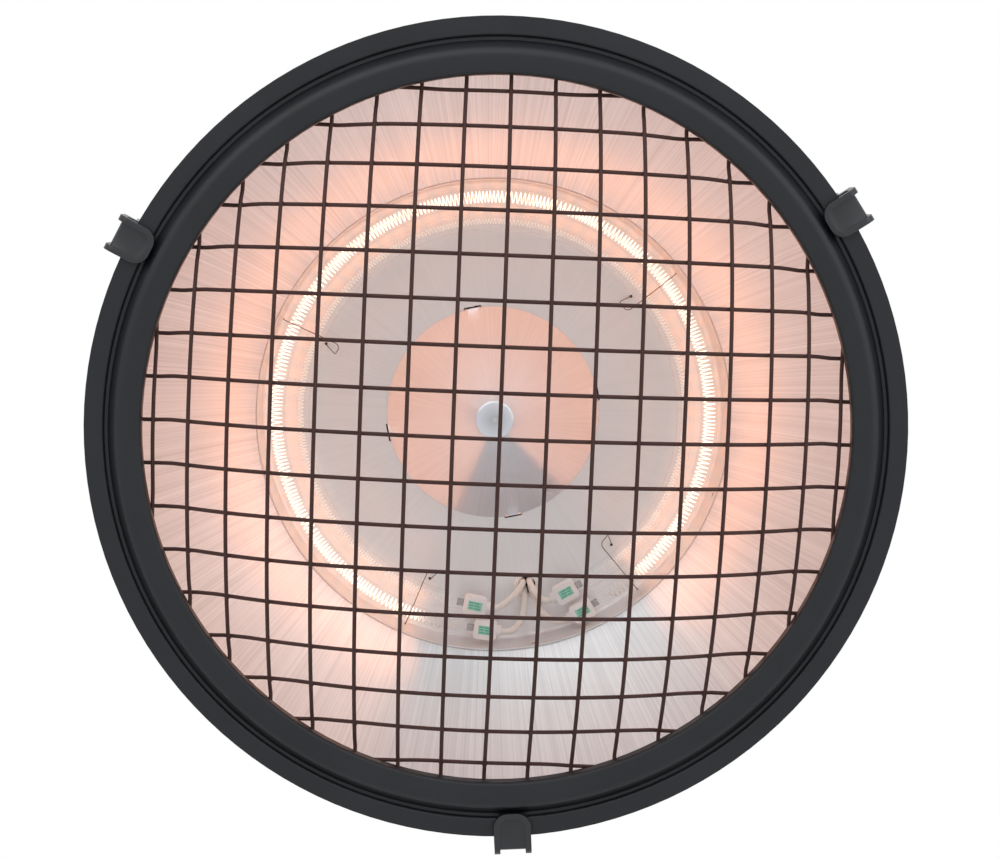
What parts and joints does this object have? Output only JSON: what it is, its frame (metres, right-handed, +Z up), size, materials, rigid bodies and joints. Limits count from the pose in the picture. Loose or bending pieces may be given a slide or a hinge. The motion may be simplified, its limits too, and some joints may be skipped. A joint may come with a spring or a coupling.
{
  "type": "hanging patio heater",
  "caption": "Hanging electric patio heater: bell shade on a ring, ring lamps in a spun reflector, domed wire guard held by swing-out clips.",
  "frame": {"origin": "inside top of the hanging ring, where the ceiling hook bears", "axes": "+Z up along the heater's axis; the radiant side faces -Z; the hanging ring lies in the YZ plane; the lamps' open ends and the first clip face about +Y"},
  "size_m": [0.45, 0.4604, 0.324],
  "materials": {
    "charcoal_paint": "fine matt powder coat",
    "zinc_steel": "bright zinc plate",
    "reflector_aluminium": "spun and brushed, fine radial streaks",
    "quartz_glass": "clear quartz",
    "lit_filament": "glowing tungsten coil",
    "cold_filament": "unlit tungsten coil",
    "white_ceramic": "satin white ceramic",
    "glass_sleeve": "braided glass fibre sleeve",
    "black_plastic": "moulded polyamide",
    "grey_rubber": "soft rubber",
    "black_rubber": "soft rubber",
    "terminal_brass": "plated brass"
  },
  "bodies": {
    "suspension": {"hang_ring": "zinc_steel"},
    "heater": {"eye_bolt": "zinc_steel", "stem_spacer": "zinc_steel", "stem_nut": "zinc_steel", "stem_washer": "zinc_steel", "top_housing": "charcoal_paint", "housing_base": "zinc_steel", "housing_gasket": "black_rubber", "housing_screws": "zinc_steel", "base_screws": "zinc_steel", "gland_body": "black_plastic", "gland_seal": "grey_rubber", "gland_nut": "black_plastic", "gland_locknut": "black_plastic", "feed_grommet": "black_rubber", "shade": "charcoal_paint", "standoffs": "zinc_steel", "pan_screws": "zinc_steel", "terminal_block": "white_ceramic", "terminal_screws": "terminal_brass", "thermal_cutout": "white_ceramic", "cutout_leads": "glass_sleeve", "outer_reflector": "reflector_aluminium", "reflector_screws": "zinc_steel", "reflector_pan": "reflector_aluminium", "pan_rivets": "reflector_aluminium", "centre_cone": "reflector_aluminium", "outer_lamp_tube": "quartz_glass", "inner_lamp_tube": "quartz_glass", "outer_filament": "lit_filament", "inner_filament": "cold_filament", "outer_lamp_caps": "white_ceramic", "inner_lamp_caps": "white_ceramic", "lamp_leads": "glass_sleeve", "lead_bushing": "white_ceramic", "lamp_supports": "zinc_steel", "guard_ring": "charcoal_paint", "guard_retainer": "charcoal_paint", "guard_wires_lengthwise": "charcoal_paint", "guard_wires_crosswise": "charcoal_paint", "clip_bracket_1": "charcoal_paint", "clip_bracket_2": "charcoal_paint", "clip_bracket_3": "charcoal_paint", "clip_pin_1": "zinc_steel", "clip_pin_2": "zinc_steel", "clip_pin_3": "zinc_steel", "bracket_rivets": "zinc_steel"},
    "clip_1": {"clip_1": "charcoal_paint"},
    "clip_2": {"clip_2": "charcoal_paint"},
    "clip_3": {"clip_3": "charcoal_paint"}
  },
  "joints": [
    {"name": "hang_swing", "type": "hinge", "parent": "suspension", "child": "heater", "pos_m": [0, 0, -0.0427], "axis": [0, 1, 0], "range_deg": [-60, 60]},
    {"name": "clip_1_hinge", "type": "hinge", "parent": "heater", "child": "clip_1", "pos_m": [0.00826, 0.22535, -0.255], "axis": [0.9993, -0.0366, 0], "range_deg": [0, 95]},
    {"name": "clip_2_hinge", "type": "hinge", "parent": "heater", "child": "clip_2", "pos_m": [-0.19929, -0.10552, -0.255], "axis": [-0.4679, 0.8838, 0], "range_deg": [0, 95]},
    {"name": "clip_3_hinge", "type": "hinge", "parent": "heater", "child": "clip_3", "pos_m": [0.19103, -0.11983, -0.255], "axis": [-0.5314, -0.8471, 0], "range_deg": [0, 95]}
  ]
}
